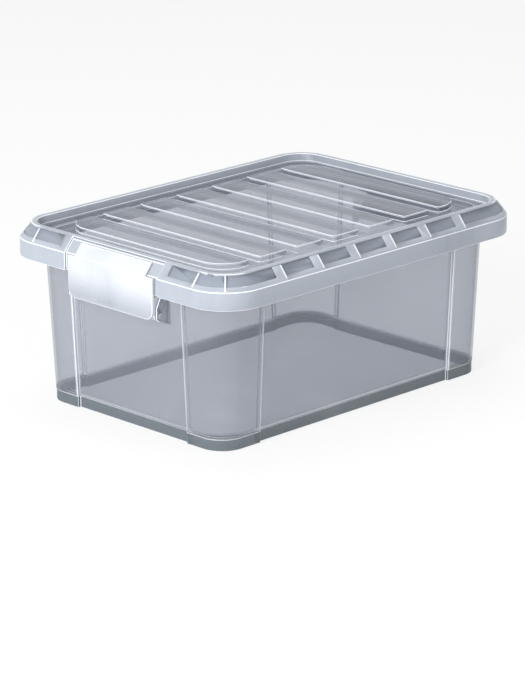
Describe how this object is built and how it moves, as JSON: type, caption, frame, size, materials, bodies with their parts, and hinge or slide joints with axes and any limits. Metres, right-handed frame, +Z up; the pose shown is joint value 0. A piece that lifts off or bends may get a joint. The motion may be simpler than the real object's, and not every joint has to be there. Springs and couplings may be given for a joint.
{
  "type": "clip-lid food storage box",
  "caption": "Clear rectangular food storage box with tapered walls, corner pillars, a lift-off stacking lid and a hinged clip handle at each end.",
  "frame": {"origin": "centre of the base, on the surface the box stands on", "axes": "+X along the length towards one clip handle, +Y across the width, +Z up"},
  "size_m": [0.4018, 0.3, 0.173],
  "materials": {
    "tub_plastic": "clear polypropylene, gloss with a slight haze",
    "lid_plastic": "clear polypropylene, polished windows between hazy pads",
    "clip_plastic": "clear polypropylene, satin and milky"
  },
  "bodies": {
    "tub": {"tub": "tub_plastic"},
    "lid": {"lid": "lid_plastic"},
    "clip_left": {"clip_left": "clip_plastic"},
    "clip_right": {"clip_right": "clip_plastic"}
  },
  "joints": [
    {"name": "lid_lift", "type": "slide", "parent": "tub", "child": "lid", "axis": [0, 0, 1], "range_m": [0, 0.2]},
    {"name": "clip_left_hinge", "type": "hinge", "parent": "tub", "child": "clip_left", "pos_m": [-0.1938, 0, 0.1225], "axis": [0, -1, 0], "range_deg": [0, 110]},
    {"name": "clip_right_hinge", "type": "hinge", "parent": "tub", "child": "clip_right", "pos_m": [0.1938, 0, 0.1225], "axis": [0, 1, 0], "range_deg": [0, 110]}
  ]
}
